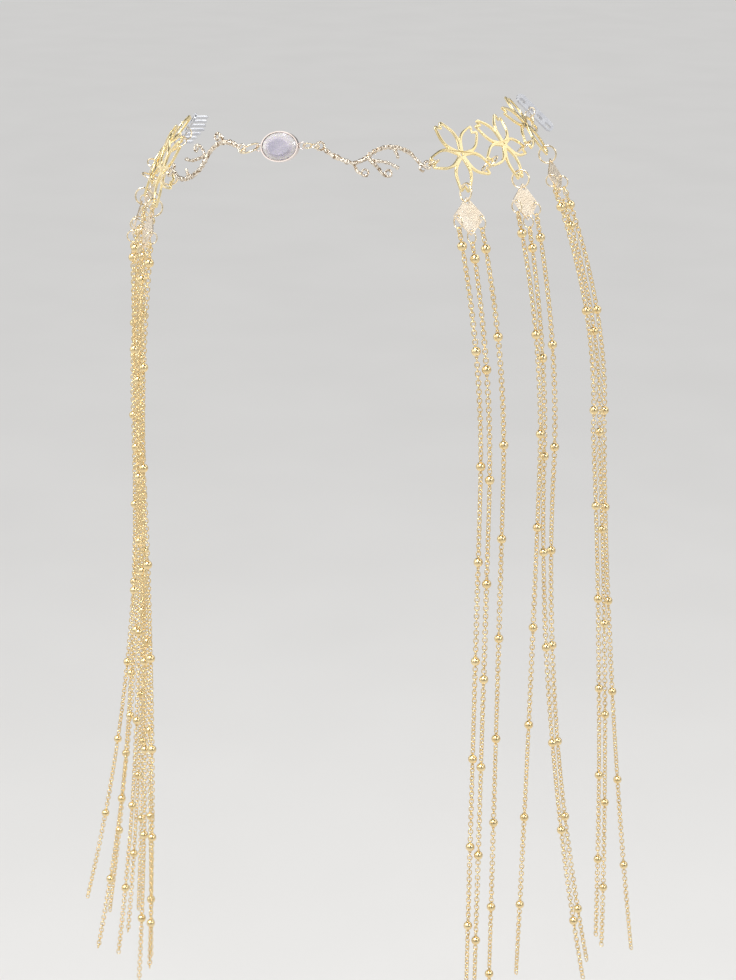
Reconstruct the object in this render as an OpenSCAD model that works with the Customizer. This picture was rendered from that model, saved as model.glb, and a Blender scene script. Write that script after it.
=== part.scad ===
// Forehead chain: a bezel-set oval stone between two branch castings, three pierced five-petal
// flowers on each side with a square plate under each, bead-chain tassels and two end clips.
// The chain keeps the form it has when worn. +Z is up, -Y is the front, and the origin is the
// middle of the head opening at the height where the chain is fitted.

/* [Head opening] */
// Half the width of the oval that the chain follows
head_half_w = 76; // [70:1:82]
// Half the depth of the oval that the chain follows
head_half_d = 84; // [78:1:90]
// Sideways tilt of the chain as it is worn, in degrees
tilt = 6; // [0:0.5:8]
// How far the chain leans back at the stone, in degrees
lean_front = 14.5; // [8:0.5:20]
// How far the chain leans back at the last flower, in degrees
lean_side = 35; // [28:0.5:40]

/* [Stone] */
// Length of the oval stone
stone_l = 13.2; // [12:0.1:14]
// Height of the oval stone
stone_h = 10.2; // [8:0.1:11]
// Height of the stone above its back plate
stone_rise = 3.2; // [2.4:0.1:4]
// Wall of the bezel round the stone
bezel_wall = 0.4; // [0.35:0.05:0.7]

/* [Branch castings] */
// Distance between the loops at the ends of a casting
vine_l = 41.8; // [40:0.1:42]
// Radius of the main stem
stem_r = 1; // [0.85:0.05:1.1]

/* [Flowers] */
// Distance along the oval from the stone to the first flower on the right
first_flower = 71; // [70:0.5:73]
// Distance along the oval between two flowers on the right
flower_step = 26.5; // [26:0.5:28]
// Thickness of a flower
flower_t = 0.9; // [0.7:0.05:1.1]
// Radius of the dome that a flower is pressed to
flower_dome = 100; // [80:5:160]

/* [Plates] */
// Half the diagonal of a plate before its corners are blunted
plate_half = 7.5; // [7.2:0.1:7.8]
// Thickness of a plate
plate_t = 0.5; // [0.4:0.05:0.6]

/* [Rings and tassels] */
// Wire of the rings that join flowers and plates
ring_wire = 0.7; // [0.6:0.05:0.8]
// Wire of the small rings at the top of the tassels
top_ring_wire = 0.55; // [0.5:0.05:0.6]
// Radius of a bead on the tassels
bead_r = 1.9; // [1.6:0.05:2]
// Radius of the chain between the beads
chain_r = 1; // [0.8:0.05:1.05]

/* [Clips] */
// Length of a clip's strip
clip_l = 20; // [18:1:22]
// Thickness of a clip's sheet
clip_t = 0.8; // [0.6:0.1:1]

/* [Hidden] */

RIGHT = 1;
LEFT = -1;
bright_gold = [0.86, 0.68, 0.30];
pale_gold = [0.84, 0.72, 0.52];
silver = [0.72, 0.73, 0.75];
milky = [0.86, 0.83, 0.88];

gap = 0.12;
arc_steps = 60;

// Heights on the upright oval of the stone and of the three flowers
stone_up = 6;
flower_up = [-6, -7, -4];
// Turn of each flower in its own plane, in degrees
flower_roll_right = [-17, -1, 10];
flower_roll_left = [5, 2, -8];
// How much farther from the stone the left flowers lie than the right ones
flower_shift_left = [-0.3, 2.7, 2.7];
side_petal = 18;
petal_count = 5;
notch_r = 12.53;
// Half the strip at a petal's notch, measured to its corners
notch_half = 0.7;

// Half outlines of a petal: distance from the flower's centre, distance from the petal's axis
petal_outside = [
    [1, 1.2], [3, 2.35], [4.8, 3.55], [6.8, 4], [9, 3.95], [11, 3.45], [12.7, 2.85],
    [13.8, 2.45], [14.45, 1.95], [14.55, 1.3], [13.9, 0.65], [13.2, 0.25], [13, 0]
];
petal_opening = [
    [1.9, 0], [2.7, 0.7], [4, 1.6], [5.6, 2.5], [7.4, 2.95], [9.2, 2.9], [11, 2.45],
    [12.4, 2.05], [13.3, 1.75], [13.35, 1.35], [12.75, 0.75], [12.2, 0.3], [12.05, 0]
];
curl_steps = 11;
curve_steps = 2;

// Plates: lean from the vertical and turn in their own plane, in degrees
plate_lean_right = 24;
plate_lean_left = 18;
plate_roll_right = [-9, -14, -14];
plate_roll_left = [4, 8, 8];
// Turn of each plate towards the front, and of the ring that holds it
plate_yaw_right = [0, 7, 6];
plate_yaw_left = [0, 0, 0];
plate_ring_turn = [0, 20, 9];
plate_drop = 4.6;
// Where a corner's hole lies, its radius, and how far the blunted corner reaches
hole_at = 5.6;
hole_r = 0.9;
tip_at = 7.3;
// The middle of the strip between a hole and its corner
strip_at = (hole_at + hole_r + tip_at) / 2;
top_ring_r = 2.35;
// A top ring rests a little above the middle of its hole, so its wire clears the sheet
top_ring_rise = 0.1;

// Hair pushes the tassels out below the plates: the reach of that slope, and how far for each group
slope_drop = 100;
low_drop = 220;
dome_right = [12, 12, 21];
dome_left = [5, 3, 10];

// One row for each tassel. The first three columns add to the outward reach at the slope's foot,
// at the low station and at the free end, the next two are the sideways drift at the slope's foot
// and at the free end, then come the drop to the first bead, the bead spacing and the whole drop.
tassels_right = [
    [
        [-1.4, -1.4, -1.4, 4.6, 3.9, 6.6, 42, 350.1],
        [-1.5, -1.5, -1.5, 2.5, 1.6, 5.8, 42.2, 347.8],
        [-1.7, -1.7, -1.7, 5.2, 5.7, 7.5, 40.3, 351.5]
    ],
    [
        [1.3, 0.3, -1.7, 0.4, 1.4, 7.8, 42.8, 339.8],
        [-2.2, 7.6, 27.1, 0.8, -1, 7.8, 42.5, 324.6],
        [-1, 4.3, 23, 1.7, 5.4, 9.8, 42.5, 329]
    ],
    [
        [-0.5, 7.5, 11.5, -1.7, -3.7, 8, 41.5, 338],
        [-2, 6, 10, 0.7, 0.7, 10, 43, 342],
        [-0.7, 8.3, 23.3, 2.5, 4.5, 7, 43, 352]
    ]
];
tassels_left = [
    [
        [-0.8, 0.2, 3.2, -0.2, 0.8, 6.5, 42, 329.5],
        [0.2, 2.2, 9.2, -0.2, 1.8, 9.5, 41.5, 333.5],
        [1.2, 2.2, 7.2, 0.3, 2.8, 7.5, 42.5, 327.5]
    ],
    [
        [-0.7, 3.3, 13.3, -0.1, -0.1, 8.5, 41, 337.5],
        [-1.7, 6.3, 25.3, -0.1, -0.1, 6.5, 42, 337.5],
        [0.3, 4.3, 17.3, -0.1, -0.1, 7.5, 43, 343.5]
    ],
    [
        [-1.3, 2.7, 10.7, 0, -2, 7.7, 42, 353.7],
        [-3.3, 7.7, 32.7, 0, -1, 5.7, 41, 341.7],
        [-1.3, 4.7, 20.7, 0, 0, 9.7, 42, 349.7]
    ]
];
// How far below its even place each bead of the first two right groups lies
bead_shifts = [
    [
        [0, -2, 2, 0, 1, 3, 2, -2],
        [0, 0, 2, 3.5, 3, 0.5, -0.5, -1.5],
        [0, -6.5, -3.5, -4.5, -1.5, 3.5, 2.5, 3, -4]
    ],
    [
        [0, -3.5, -6, -9, -7.5, -5.5, -4, -3.5],
        [0, 1, -1, -2.5, -3.5, -3.5, -6.5, -7.5],
        [-1, -1, -1, 1.5, 1.5, 3, -4.5, -3.5]
    ]
];
tassel_sides = 8;
tassel_start = 0.6;
bare_end = 12;

// The castings: where each starts on the chain (distance from the stone, height) and its direction
vine_start_right = [14.7, 5.1];
vine_start_left = [-15.9, 5.8];
vine_turn_right = -16.6;
vine_turn_left = 195.4;
// How far a casting lies out from the oval at its start and at its end
vine_lift_right = [1, -1.1];
vine_lift_left = [1, 1.7];
vine_loop_r = 1.45;
vine_loop_wire = 0.5;
// Half the room a ring needs to pass round a loop of faceted wire
loop_half = vine_loop_wire + 0.06;

// Stems of a casting, each a list of [x, y, thickness against the main stem]
stem_main = [
    [1.2, -0.8, 0.6], [2.6, -2.1, 0.9], [4.6, -3.6, 1], [7.2, -4.4, 1], [10, -4.6, 0.9],
    [12.8, -4, 0.85], [15.2, -2.7, 0.85], [17.3, -1.1, 0.95], [19, 0.8, 0.9], [21, 2.5, 0.85],
    [24.2, 4, 0.9], [27.8, 4.7, 0.9], [31.3, 4.5, 0.85], [34.6, 3.3, 0.9], [37.2, 1.2, 0.85],
    [39.4, -0.4, 0.7], [40.8, -0.5, 0.6]
];
stem_tine = [[19, -1.7, 0.65], [22.5, -1.5, 0.65], [25.8, -1.6, 0.62], [28.2, -2.3, 0.62], [29.8, -3, 0.75]];
stem_nub = [[27.7, 4.4, 0.7], [28.7, 2.6, 0.62], [29.5, 1, 0.75]];
stem_end = [[38.6, -0.6, 0.6], [38.5, -2, 0.48], [39.5, -2.9, 0.44], [40.4, -2.2, 0.4]];
// The right casting's first stretch is straighter: how far it rises, and over what length
rise_right = 1.5;
rise_l = 13;
// Each casting has two curls at places of its own: their feet and the middles of their turns
curl_feet_right = [[13.2, -4.2], [22.4, -4.2]];
curl_middles_right = [[17.6, -6.5], [26.1, -5.4]];
curl_feet_left = [[8, -4.6], [18.9, -3.6]];
curl_middles_left = [[10.8, -7.4], [23.2, -5.8]];
// The second curl's foot stands on a short stem of its own
branch_foot = [17.8, -1, 0.75];
curl_r = 1.35;

// A clip: width of the strip, its slots, its teeth, and where it sits on the oval
clip_at = 143.5;
clip_up = -4.2;
clip_out = 2.6;
clip_lean = 41;
// Turn of the strip towards the front, and bend of its teeth back into the hair, in degrees
clip_turn = 35;
tooth_bend = 50;
clip_w = 5.2;
slot_l = 3.4;
slot_w = 1.7;
clip_ring_wire = 0.55;
slot_count = 4;
slot_pitch = 4.8;
tooth_count = 7;
tooth_l = 11;
tooth_w = 1.2;
tooth_pitch = 2.3;
// The bent back edge that carries the teeth: where it starts, its width and its length
tooth_root = 2;
tooth_base = 1.6;
tooth_row = 15;

stone_loop_at = 8.35;
stone_loop_r = 1.15;
stone_loop_wire = 0.5;
stone_sides = 16;
// Turn of the ring at the stone's left loop, in degrees
stone_ring_turn = 32;
setting_floor = 0.7;

function unit(v) = v / norm(v);
function at(f, p) = f[0] + f[1] * p[0] + f[2] * p[1] + f[3] * p[2];

// Angle on the oval that lies a distance s from the stone, walked in short steps
function oval_rate(t) = norm([head_half_w * cos(t), head_half_d * sin(t)]) * PI / 180;
function oval_angle(s) =
    let (walk = [for (i = 0, t = 0; i <= arc_steps; t = t + abs(s) / arc_steps / oval_rate(t), i = i + 1) t])
    sign(s) * walk[arc_steps];

// A frame is [origin, x, y, z]: x runs along the chain, y up the slope and z out from the head
function frame_from(origin, along, out, lean, roll) =
    let (up = [0, 0, cos(lean)] - out * sin(lean))
    [
        origin,
        along * cos(roll) + up * sin(roll),
        up * cos(roll) - along * sin(roll),
        cross(along, up)
    ];
function band_frame(s, up, lean, roll = 0) =
    let (
        t = oval_angle(s),
        along = unit([head_half_w * cos(t), head_half_d * sin(t), 0])
    )
    frame_from(
        [head_half_w * sin(t), -head_half_d * cos(t), up], along, [along.y, -along.x, 0], lean, roll
    );
function band_lean(s) =
    lean_front + (lean_side - lean_front) * abs(s) / (first_flower + 2 * flower_step);
function tilted(v) = [v.x * cos(tilt) - v.z * sin(tilt), v.y, v.x * sin(tilt) + v.z * cos(tilt)];
function worn(f) = [for (v = f) tilted(v)];

function flower_frame(hand, i) =
    let (s = hand * (first_flower + i * flower_step + (hand == LEFT ? flower_shift_left[i] : 0)))
    worn(band_frame(s, flower_up[i], band_lean(s), (hand == RIGHT ? flower_roll_right : flower_roll_left)[i]));
function dome_z(r) = sqrt(flower_dome * flower_dome - r * r) - flower_dome;
function notch_point(f, angle) =
    at(f, [notch_r * cos(angle), notch_r * sin(angle), dome_z(notch_r)]);
function level(v) = unit([v.x, v.y, 0]);
function across(v) = [-v.y, v.x, 0];

// A plate hangs from its flower's lowest petal, so its lean and turn are against the vertical
function plate_frame(hand, i) =
    let (
        f = flower_frame(hand, i),
        yaw = (hand == RIGHT ? plate_yaw_right : plate_yaw_left)[i],
        straight = level(f[3]),
        out = straight * cos(yaw) - across(straight) * hand * sin(yaw),
        turned = frame_from(
            [0, 0, 0], across(out), out,
            hand == RIGHT ? plate_lean_right : plate_lean_left,
            (hand == RIGHT ? plate_roll_right : plate_roll_left)[i]
        ),
        rim = notch_point(f, -90) - unit(f[2] + turned[2]) * plate_drop
    )
    [rim - turned[2] * strip_at, turned[1], turned[2], turned[3]];
function plate_hole(hand, i, corner) =
    at(plate_frame(hand, i), corner == 0 ? [0, -hole_at, 0] : [corner * hole_at, 0, 0]);

// A top ring hangs the way its tassel pulls, down and a little outwards
function reach_at(hand, i) = (hand == RIGHT ? dome_right : dome_left)[i];
function pull(hand, i) =
    unit(level(flower_frame(hand, i)[3]) * 2 * reach_at(hand, i) / slope_drop - [0, 0, 1]);
function top_ring_middle(hand, i, corner) =
    plate_hole(hand, i, corner) + pull(hand, i) * (top_ring_r - top_ring_rise);

function tassel_row(hand, i, corner) = (hand == RIGHT ? tassels_right : tassels_left)[i][corner + 1];
function bead_shift(hand, i, corner, k) = hand == RIGHT && i < 2 ? bead_shifts[i][corner + 1][k] : 0;
function ease(d) = 1 - pow(1 - min(d / slope_drop, 1), 2);
// Eases to the first value over the slope, then follows a parabola through the three stations
function drift(d, foot, low, end, drop) =
    d <= slope_drop ? foot * ease(d) :
    foot * (d - low_drop) * (d - drop) / ((slope_drop - low_drop) * (slope_drop - drop))
    + low * (d - slope_drop) * (d - drop) / ((low_drop - slope_drop) * (low_drop - drop))
    + end * (d - slope_drop) * (d - low_drop) / ((drop - slope_drop) * (drop - low_drop));
function tassel_point(hand, i, corner, d) =
    let (
        row = tassel_row(hand, i, corner),
        out = level(flower_frame(hand, i)[3]),
        reach = reach_at(hand, i),
        top = top_ring_middle(hand, i, corner) + pull(hand, i) * top_ring_r
    )
    top - [0, 0, d]
    + out * drift(d, reach + row[0], reach + row[1], reach + row[2], row[7])
    + across(out) * drift(d, row[3], (row[3] + row[4]) / 2, row[4], row[7]);

// Height of the chain on the upright oval, between the stone and the first flower
function chain_up(s) = stone_up + (flower_up[0] - stone_up) * min(abs(s) / first_flower, 1);
function on_chain(s, up, lift) =
    tilted(at(band_frame(s, chain_up(s), band_lean(s)), [0, up - chain_up(s), lift]));
function vine_point(hand, x, y, lift = 0) =
    let (
        out = hand == RIGHT ? vine_lift_right : vine_lift_left,
        z = out[0] + (out[1] - out[0]) * x / vine_l + lift,
        start = hand == RIGHT ? vine_start_right : vine_start_left,
        turn = hand == RIGHT ? vine_turn_right : vine_turn_left
    )
    on_chain(start.x + x * cos(turn) - y * sin(turn), start.y + x * sin(turn) + y * cos(turn), z);

// The main stem of one casting, with the right one's rise added
function main_points(hand) = [
    for (p = stem_main)
    [p.x, p.y + (hand == RIGHT && p.x < rise_l ? rise_right * sin(180 * p.x / rise_l) : 0), p[2]]
];

function vine_out(hand, x) = unit(vine_point(hand, x, 0, 1) - vine_point(hand, x, 0));
// The point of a flat loop's rim that is nearest to a target
function rim_point(middle, normal, target, r) =
    let (d = target - middle)
    middle + unit(d - normal * (d * normal)) * r;

// Closed Catmull-Rom curve through a half outline and its mirror image
function mirrored(half) = concat(
    half, [for (i = [len(half) - 1:-1:0]) if (half[i].y > 0) [half[i].x, -half[i].y]]
);
function curve_at(a, b, c, d, u) =
    0.5 * (2 * b + (c - a) * u + (2 * a - 5 * b + 4 * c - d) * u * u + (3 * b - a - 3 * c + d) * u * u * u);
function smooth(p) = [
    for (i = [0:len(p) - 1]) for (k = [0:curve_steps - 1])
    curve_at(
        p[(i + len(p) - 1) % len(p)], p[i], p[(i + 1) % len(p)], p[(i + 2) % len(p)], k / curve_steps
    )
];
function oval(a, b, z, sides, turn = 0) =
    [for (k = [0:sides - 1]) [a * cos((k + turn) * 360 / sides), b * sin((k + turn) * 360 / sides), z]];

module on(f) {
    multmatrix([
        [f[1].x, f[2].x, f[3].x, f[0].x],
        [f[1].y, f[2].y, f[3].y, f[0].y],
        [f[1].z, f[2].z, f[3].z, f[0].z],
        [0, 0, 0, 1]
    ]) children();
}

module ring(r, wire) {
    rotate_extrude($fn = 48) translate([r, 0]) circle(d = wire, $fn = 24);
}

// A ring in the plane of p, q and the direction out, turned about the line from p to q
module ring_between(p, q, out, r, wire, turn = 0) {
    along = unit(q - p);
    side = unit(cross(along, out));
    up = cross(side, along);
    axis = side * cos(turn) + up * sin(turn);
    on([(p + q) / 2, along, cross(axis, along), axis]) ring(r, wire);
}

// A ring round two strips whose middles lie at p and q, in the plane of p, q and out
module held_ring(p, q, out, half_p, half_q, wire, turn = 0) {
    move = unit(q - p) * (half_q - half_p) / 2;
    r = (norm(q - p) + half_p + half_q) / 2 + gap + wire / 2;
    ring_between(p + move, q + move, out, r, wire, turn);
}

module stone() {
    f = stone_frame();
    bottom = setting_floor + gap;
    top = setting_floor + stone_rise;
    n = stone_sides;
    rings = concat(
        oval(stone_l / 2 - 0.5, stone_h / 2 - 0.5, bottom, n),
        oval(stone_l / 2, stone_h / 2, bottom + 0.9, n),
        oval(stone_l / 2, stone_h / 2, bottom + 1.5, n),
        oval(stone_l / 2 - 1.1, stone_h / 2 - 1, bottom + 2.2, n, 0.5),
        oval(stone_l / 2 - 2.1, stone_h / 2 - 1.9, top, n)
    );
    sides = [
        for (j = [0:3]) for (k = [0:n - 1]) for (half = [0, 1])
        half == 0 ? [j * n + k, j * n + (k + 1) % n, (j + 1) * n + k]
                  : [j * n + (k + 1) % n, (j + 1) * n + (k + 1) % n, (j + 1) * n + k]
    ];
    caps = [[for (k = [n - 1:-1:0]) k], [for (k = [0:n - 1]) 4 * n + k]];
    color(milky) on(f) polyhedron(
        points = rings, faces = [for (face = concat(sides, caps)) [for (i = [len(face) - 1:-1:0]) face[i]]]
    );
}
function stone_frame() = worn(band_frame(0, stone_up, band_lean(0)));

module stone_setting() {
    inside = [stone_l / 2 + gap, stone_h / 2 + gap];
    outside = inside + [bezel_wall, bezel_wall];
    color(bright_gold) on(stone_frame()) {
        linear_extrude(setting_floor + 1.85) difference() {
            polygon([for (p = oval(outside.x, outside.y, 0, 48)) [p.x, p.y]]);
            polygon([for (p = oval(inside.x, inside.y, 0, 48)) [p.x, p.y]]);
        }
        linear_extrude(setting_floor) polygon([for (p = oval(outside.x, outside.y, 0, 48)) [p.x, p.y]]);
        for (hand = [LEFT, RIGHT]) translate([hand * stone_loop_at, 0, 1]) ring(stone_loop_r, stone_loop_wire);
    }
}

// A knotty stem: short lengths between balls whose size wavers a little
module stem(hand, points) {
    for (i = [0:len(points) - 2]) hull() for (k = [i, i + 1]) {
        knot = 1 + 0.12 * sin(k * 137);
        translate(vine_point(hand, points[k].x, points[k].y))
            sphere(r = stem_r * points[k][2] * knot, $fn = 8);
    }
}
module curl(hand, foot, middle) {
    start = atan2(foot.y - middle.y, foot.x - middle.x);
    reach = norm(foot - middle) - curl_r;
    stem(hand, [
        for (k = [0:curl_steps])
        let (
            t = k / curl_steps,
            a = start + 395 * t,
            r = curl_r * (1 - 0.2 * t) + reach * pow(max(0, 1 - 5 * t), 2)
        )
        [middle.x + r * cos(a), middle.y + r * sin(a), 0.62 - 0.22 * t]
    ]);
}
module end_loop(hand, x) {
    step = 0.5;
    middle = vine_point(hand, x, 0);
    along = unit(vine_point(hand, x + step, 0) - vine_point(hand, x - step, 0));
    out = vine_out(hand, x);
    on([middle, along, cross(out, along), out])
        rotate_extrude($fn = 14) translate([vine_loop_r, 0]) circle(r = vine_loop_wire, $fn = 6);
}
module vine(hand) {
    color(pale_gold) {
        end_loop(hand, 0);
        end_loop(hand, vine_l);
        for (points = [main_points(hand), stem_tine, stem_nub, stem_end]) stem(hand, points);
        feet = hand == RIGHT ? curl_feet_right : curl_feet_left;
        middles = hand == RIGHT ? curl_middles_right : curl_middles_left;
        stem(hand, [branch_foot, [feet[1].x, feet[1].y, 0.65]]);
        for (k = [0, 1]) curl(hand, feet[k], middles[k]);
    }
}

module flower_outline() {
    difference() {
        union() for (k = [0:petal_count - 1]) rotate(k * 360 / petal_count - 90)
            polygon(smooth(mirrored(petal_outside)));
        for (k = [0:petal_count - 1]) rotate(k * 360 / petal_count - 90)
            polygon(smooth(mirrored(petal_opening)));
        circle(r = 0.6, $fn = 24);
    }
}
module flower(hand, i) {
    color(bright_gold) on(flower_frame(hand, i)) intersection() {
        translate([0, 0, -4]) linear_extrude(6) flower_outline();
        translate([0, 0, -flower_dome]) difference() {
            sphere(r = flower_dome + flower_t / 2, $fn = 200);
            sphere(r = flower_dome - flower_t / 2, $fn = 200);
        }
    }
}

module plate(hand, i) {
    color(pale_gold) on(plate_frame(hand, i)) translate([0, 0, -plate_t / 2]) linear_extrude(plate_t)
        difference() {
            intersection() {
                rotate(45) square(plate_half * sqrt(2), center = true);
                circle(r = tip_at, $fn = 96);
            }
            for (k = [0:3]) rotate(k * 90) translate([hole_at, 0]) circle(r = hole_r, $fn = 32);
        }
}

// The ring that carries a plate, and the rings in its three free corners
module plate_rings(hand, i) {
    f = flower_frame(hand, i);
    plate = plate_frame(hand, i);
    p = notch_point(f, -90);
    q = at(plate, [0, strip_at, 0]);
    // A ring crosses the corner at a slant, so it needs a little more room
    rim_half = norm([tip_at - hole_at - hole_r, plate_t]) / 2 + 0.08;
    way = pull(hand, i);
    color(bright_gold) {
        turn = hand == RIGHT ? plate_ring_turn[i] : 0;
        held_ring(p, q, f[3] + plate[3], notch_half, rim_half, ring_wire, turn);
        for (corner = [-1:1]) {
            middle = top_ring_middle(hand, i, corner);
            ring_between(middle - way, middle + way, plate[3], top_ring_r, top_ring_wire);
        }
    }
}

// A tassel: one tube from its top ring to its free end that swells at each bead
module tassel(hand, i, corner) {
    row = tassel_row(hand, i, corner);
    even = [for (d = [row[5]:row[6]:row[7] - bare_end]) d];
    beads = [for (k = [0:len(even) - 1]) even[k] + bead_shift(hand, i, corner, k)];
    neck = bead_r * 1.15;
    stations = concat(
        [[tassel_start, chain_r]],
        [
            for (k = [0:len(beads) - 1]) each [
                [beads[k] - neck, chain_r],
                [beads[k], bead_r],
                [beads[k] + neck, chain_r],
                if (k < 2) [beads[k] + row[6] / 2, chain_r]
            ]
        ],
        [[row[7], chain_r]]
    );
    n = tassel_sides;
    last = len(stations) - 1;
    points = [
        for (s = stations)
        let (c = tassel_point(hand, i, corner, s[0]))
        for (k = [0:n - 1]) c + [s[1] * cos(k * 360 / n), s[1] * sin(k * 360 / n), 0]
    ];
    walls = [
        for (j = [0:last - 1]) for (k = [0:n - 1])
        [j * n + k, (j + 1) * n + k, (j + 1) * n + (k + 1) % n, j * n + (k + 1) % n]
    ];
    caps = [[for (k = [0:n - 1]) k], [for (k = [n - 1:-1:0]) last * n + k]];
    color(bright_gold) polyhedron(
        points = points,
        faces = [for (face = concat(walls, caps)) [for (m = [len(face) - 1:-1:0]) face[m]]]
    );
}

function clip_frame(hand) =
    let (
        s = clip_at + (hand == LEFT ? flower_shift_left[2] : 0),
        f = worn(band_frame(hand * s, clip_up, clip_lean)),
        side = hand * sin(clip_turn)
    )
    [at(f, [0, 0, clip_out]), f[1] * cos(clip_turn) + f[3] * side, f[2], f[3] * cos(clip_turn) - f[1] * side];
function slot_y(k) = -clip_l / 2 + 2.6 + k * slot_pitch;
module clip(hand) {
    color(silver) on(clip_frame(hand)) {
        translate([0, 0, -clip_t / 2]) linear_extrude(clip_t) difference() {
            union() {
                translate([-clip_w / 2, -clip_l / 2 + clip_w / 2]) square([clip_w, clip_l - clip_w]);
                for (end = [-1, 1]) translate([0, end * (clip_l - clip_w) / 2])
                    circle(d = clip_w, $fn = 32);
            }
            for (k = [0:slot_count - 1]) for (end = [-1, 1])
                translate([-hand * 0.5, slot_y(k) + end * (slot_l - slot_w) / 2])
                    circle(d = slot_w, $fn = 20);
            for (k = [0:slot_count - 1])
                translate([-hand * 0.5 - slot_w / 2, slot_y(k) - (slot_l - slot_w) / 2])
                    square([slot_w, slot_l - slot_w]);
        }
        // The teeth leave the strip's back edge at a bend
        translate([hand * tooth_root, 0, 0]) rotate([0, hand * tooth_bend, 0])
            translate([0, 0, -clip_t / 2]) linear_extrude(clip_t) {
                translate([hand > 0 ? 0 : -tooth_base, -tooth_row / 2]) square([tooth_base, tooth_row]);
                for (k = [0:tooth_count - 1]) {
                    y = (k - (tooth_count - 1) / 2) * tooth_pitch;
                    reach = tooth_l - 0.35 * abs(y);
                    translate([hand > 0 ? 0 : -reach, y - tooth_w / 2]) square([reach, tooth_w]);
                    translate([hand * reach, y]) circle(d = tooth_w, $fn = 20);
                }
            }
    }
}

// Two small rings join the stone to the right casting, one larger ring joins it to the left one
module stone_ring_right() {
    f = stone_frame();
    near = at(f, [stone_loop_at, 0, 1]);
    far = vine_point(RIGHT, 0, 0);
    start = rim_point(near, f[3], far, stone_loop_r);
    end = rim_point(far, vine_out(RIGHT, 0), near, vine_loop_r);
    r = (norm(end - start) + stone_loop_wire / 2 + loop_half + 4 * gap) / 4 + stone_loop_wire / 2;
    color(bright_gold) two_rings(start, end, f[3], stone_loop_wire / 2, r, stone_loop_wire, [28, -28]);
}
module stone_ring_left() {
    f = stone_frame();
    near = at(f, [-stone_loop_at, 0, 1]);
    far = vine_point(LEFT, 0, 0);
    p = rim_point(near, f[3], far, stone_loop_r);
    q = rim_point(far, vine_out(LEFT, 0), near, vine_loop_r);
    color(bright_gold) held_ring(p, q, f[3], stone_loop_wire / 2, loop_half, ring_wire, stone_ring_turn);
}
// Two interlocking rings of one size from p to q: half_p is half the strip that the first one
// holds, and each ring is turned about the line between them
module two_rings(p, q, out, half_p, r, wire, turn) {
    along = unit(q - p);
    first = p + along * (r - wire / 2 - half_p - gap);
    second = first + along * (2 * r - wire - gap);
    ring_between(first - along, first + along, out, r, wire, turn[0]);
    ring_between(second - along, second + along, out, r, wire, turn[1]);
}

module vine_ring(hand) {
    f = flower_frame(hand, 0);
    q = notch_point(f, hand == RIGHT ? 180 + side_petal : -side_petal);
    p = rim_point(vine_point(hand, vine_l, 0), vine_out(hand, vine_l), q, vine_loop_r);
    color(bright_gold) held_ring(p, q, f[3], vine_loop_wire, notch_half, ring_wire);
}

module link_ring(hand, i) {
    near = flower_frame(hand, i);
    far = flower_frame(hand, i + 1);
    p = notch_point(near, hand == RIGHT ? -side_petal : 180 + side_petal);
    q = notch_point(far, hand == RIGHT ? 180 + side_petal : -side_petal);
    color(bright_gold) held_ring(p, q, near[3] + far[3], notch_half, notch_half, ring_wire);
}

module clip_rings(hand) {
    f = flower_frame(hand, 2);
    p = notch_point(f, hand == RIGHT ? -side_petal : 180 + side_petal);
    clip = clip_frame(hand);
    edge = (clip_w / 2 + 0.5 + slot_w / 2) / 2;
    // The ring crosses the clip's edge at a slant, so it needs a little more room
    half_edge = norm([clip_w / 2 - 0.5 - slot_w / 2, clip_t]) / 2 + 0.2;
    q = at(clip, [-hand * edge, slot_y(2), 0]);
    wire = clip_ring_wire;
    r = (norm(q - p) + notch_half + half_edge + 3 * gap) / 4 + wire / 2;
    color(bright_gold) two_rings(p, q, clip[3], notch_half, r, wire, hand == RIGHT ? [32, -13] : [45, -10]);
}

stone();
stone_setting();
vine(RIGHT);  // vine_right
vine(LEFT);  // vine_left
stone_ring_right();
stone_ring_left();
vine_ring(RIGHT);  // vine_ring_right
vine_ring(LEFT);  // vine_ring_left
clip(RIGHT);  // clip_right
clip(LEFT);  // clip_left
clip_rings(RIGHT);  // clip_rings_right
clip_rings(LEFT);  // clip_rings_left
for (i = [0:2]) {
    flower(RIGHT, i);
    flower(LEFT, i);
    plate(RIGHT, i);
    plate(LEFT, i);
    plate_rings(RIGHT, i);
    plate_rings(LEFT, i);
    link_ring(RIGHT, i);
    link_ring(LEFT, i);
    for (corner = [-1:1]) {
        letter = ["a", "b", "c"][corner + 1];
        tassel(RIGHT, i, corner);
        tassel(LEFT, i, corner);
    }
}
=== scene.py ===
"""A forehead chain with bead-chain tassels, dressed with its links, castings and metal finishes."""

import math

import bmesh
import bpy
import numpy as np
from mathutils import Matrix, Vector, noise


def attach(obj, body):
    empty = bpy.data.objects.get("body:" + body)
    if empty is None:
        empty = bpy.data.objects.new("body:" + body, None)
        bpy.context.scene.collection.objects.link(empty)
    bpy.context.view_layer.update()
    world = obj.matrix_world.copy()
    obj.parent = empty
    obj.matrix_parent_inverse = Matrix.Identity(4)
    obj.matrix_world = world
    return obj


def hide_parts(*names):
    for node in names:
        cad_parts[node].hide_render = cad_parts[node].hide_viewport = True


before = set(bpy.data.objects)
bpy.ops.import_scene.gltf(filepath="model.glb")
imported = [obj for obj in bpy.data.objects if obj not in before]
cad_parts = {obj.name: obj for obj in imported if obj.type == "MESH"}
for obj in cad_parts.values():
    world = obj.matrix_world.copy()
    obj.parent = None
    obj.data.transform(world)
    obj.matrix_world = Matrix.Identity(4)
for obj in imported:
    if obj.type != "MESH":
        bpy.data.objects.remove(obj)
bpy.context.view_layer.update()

MM = 0.001
RIGHT = 1
LEFT = -1
SIDES = {RIGHT: "right", LEFT: "left"}
LETTERS = "abc"

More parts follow.
